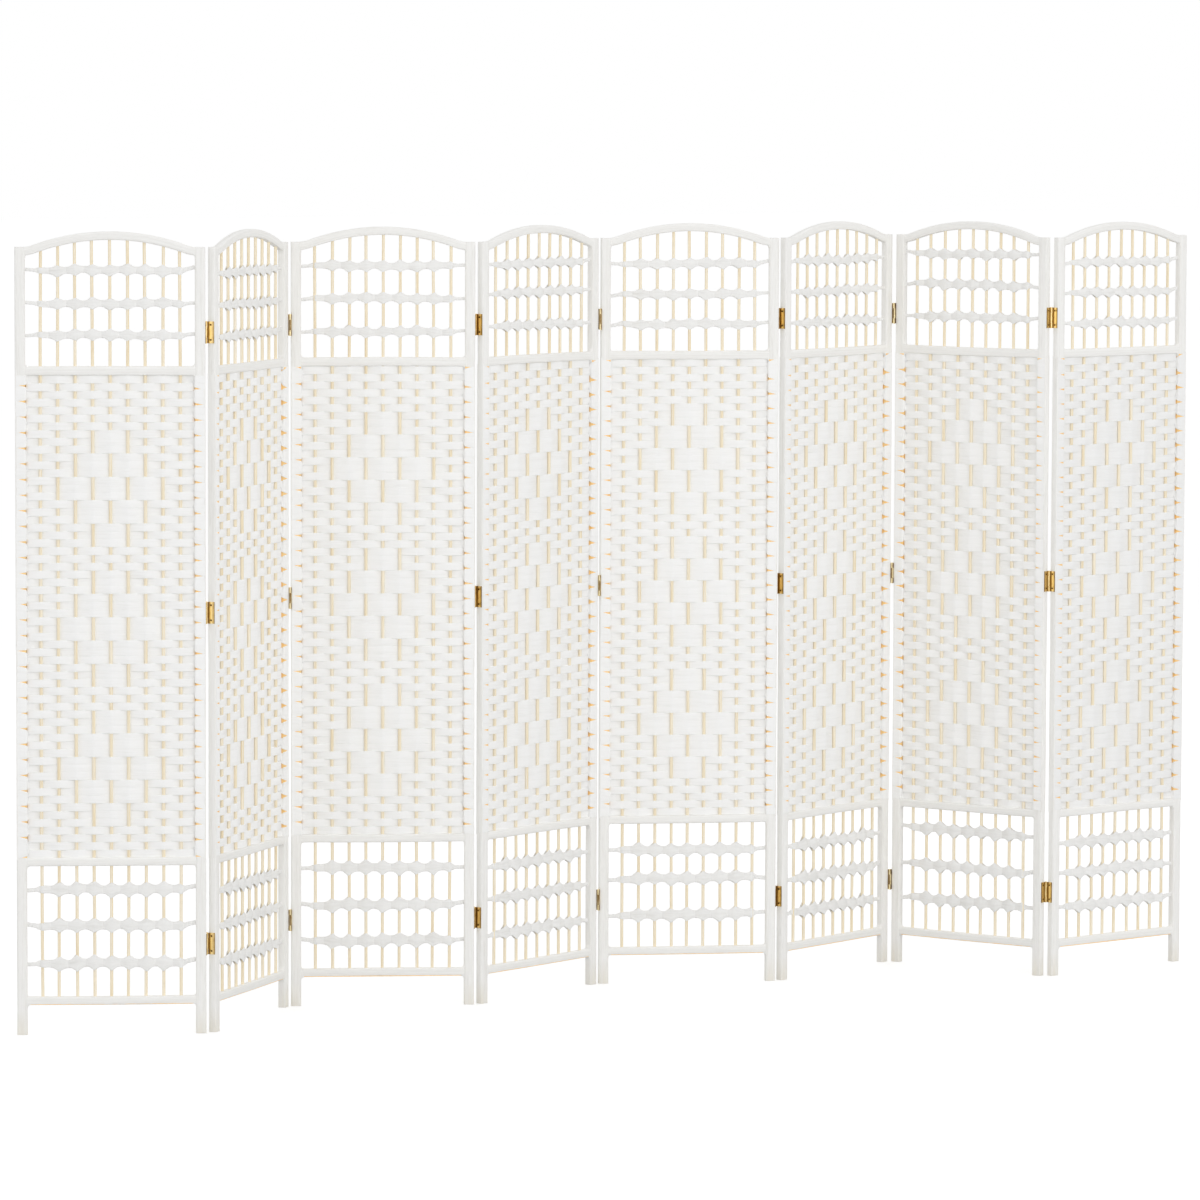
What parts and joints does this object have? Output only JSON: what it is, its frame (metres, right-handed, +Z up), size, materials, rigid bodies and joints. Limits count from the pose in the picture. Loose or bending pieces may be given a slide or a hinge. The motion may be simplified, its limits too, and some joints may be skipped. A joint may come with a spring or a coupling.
{
  "type": "folding screen",
  "caption": "Free-standing zigzag folding screen of arched panels with woven paper ribbon over upright rods, open twined lattice above and below, and brass hinges.",
  "frame": {"origin": "on the floor under the middle of the standing screen's bounding box", "axes": "+X along the run of the screen from its left end to its right end, -Y towards the viewer's front, +Z up"},
  "size_m": [2.8246, 0.4028, 1.6998],
  "materials": {
    "wrapped_frame": "wood wrapped in off-white paper, matt",
    "bamboo_rod": "natural split bamboo, matt",
    "paper_ribbon": "flattened twisted paper ribbon, off-white, matt",
    "hinge_brass": "brass-plated steel, satin"
  },
  "bodies": {
    "panel_1": {"panel_1_stiles": "wrapped_frame", "panel_1_rails": "wrapped_frame", "panel_1_rods": "bamboo_rod", "panel_1_twined_bands": "paper_ribbon", "panel_1_woven_field": "paper_ribbon", "hinges_1_2_pinned_leaves": "hinge_brass"},
    "panel_2": {"panel_2_stiles": "wrapped_frame", "panel_2_rails": "wrapped_frame", "panel_2_rods": "bamboo_rod", "panel_2_twined_bands": "paper_ribbon", "panel_2_woven_field": "paper_ribbon", "hinges_2_3_pinned_leaves": "hinge_brass", "hinges_1_2_free_leaves": "hinge_brass"},
    "panel_3": {"panel_3_stiles": "wrapped_frame", "panel_3_rails": "wrapped_frame", "panel_3_rods": "bamboo_rod", "panel_3_twined_bands": "paper_ribbon", "panel_3_woven_field": "paper_ribbon", "hinges_3_4_pinned_leaves": "hinge_brass", "hinges_2_3_free_leaves": "hinge_brass"},
    "panel_4": {"panel_4_stiles": "wrapped_frame", "panel_4_rails": "wrapped_frame", "panel_4_rods": "bamboo_rod", "panel_4_twined_bands": "paper_ribbon", "panel_4_woven_field": "paper_ribbon", "hinges_4_5_pinned_leaves": "hinge_brass", "hinges_3_4_free_leaves": "hinge_brass"},
    "panel_5": {"panel_5_stiles": "wrapped_frame", "panel_5_rails": "wrapped_frame", "panel_5_rods": "bamboo_rod", "panel_5_twined_bands": "paper_ribbon", "panel_5_woven_field": "paper_ribbon", "hinges_5_6_pinned_leaves": "hinge_brass", "hinges_4_5_free_leaves": "hinge_brass"},
    "panel_6": {"panel_6_stiles": "wrapped_frame", "panel_6_rails": "wrapped_frame", "panel_6_rods": "bamboo_rod", "panel_6_twined_bands": "paper_ribbon", "panel_6_woven_field": "paper_ribbon", "hinges_6_7_pinned_leaves": "hinge_brass", "hinges_5_6_free_leaves": "hinge_brass"},
    "panel_7": {"panel_7_stiles": "wrapped_frame", "panel_7_rails": "wrapped_frame", "panel_7_rods": "bamboo_rod", "panel_7_twined_bands": "paper_ribbon", "panel_7_woven_field": "paper_ribbon", "hinges_7_8_pinned_leaves": "hinge_brass", "hinges_6_7_free_leaves": "hinge_brass"},
    "panel_8": {"panel_8_stiles": "wrapped_frame", "panel_8_rails": "wrapped_frame", "panel_8_rods": "bamboo_rod", "panel_8_twined_bands": "paper_ribbon", "panel_8_woven_field": "paper_ribbon", "hinges_7_8_free_leaves": "hinge_brass"}
  },
  "joints": [
    {"name": "fold_1_2", "type": "hinge", "parent": "panel_2", "child": "panel_1", "pos_m": [-1.02871, -0.18371, 0.85], "axis": [0, 0, 1], "range_deg": [-115, 65]},
    {"name": "fold_2_3", "type": "hinge", "parent": "panel_3", "child": "panel_2", "pos_m": [-0.7272, 0.08471, 0.85], "axis": [0, 0, -1], "range_deg": [-115, 65]},
    {"name": "fold_3_4", "type": "hinge", "parent": "panel_4", "child": "panel_3", "pos_m": [-0.3405, -0.03114, 0.85], "axis": [0, 0, 1], "range_deg": [-134, 46]},
    {"name": "fold_4_5", "type": "hinge", "parent": "panel_4", "child": "panel_5", "pos_m": [0.03197, 0.1245, 0.85], "axis": [0, 0, 1], "range_deg": [-137, 43]},
    {"name": "fold_5_6", "type": "hinge", "parent": "panel_5", "child": "panel_6", "pos_m": [0.42421, 0.02905, 0.85], "axis": [0, 0, -1], "range_deg": [-137, 43]},
    {"name": "fold_6_7", "type": "hinge", "parent": "panel_6", "child": "panel_7", "pos_m": [0.79668, 0.18468, 0.85], "axis": [0, 0, 1], "range_deg": [-94, 86]},
    {"name": "fold_7_8", "type": "hinge", "parent": "panel_7", "child": "panel_8", "pos_m": [1.01844, -0.15263, 0.85], "axis": [0, 0, -1], "range_deg": [-106, 74]}
  ]
}
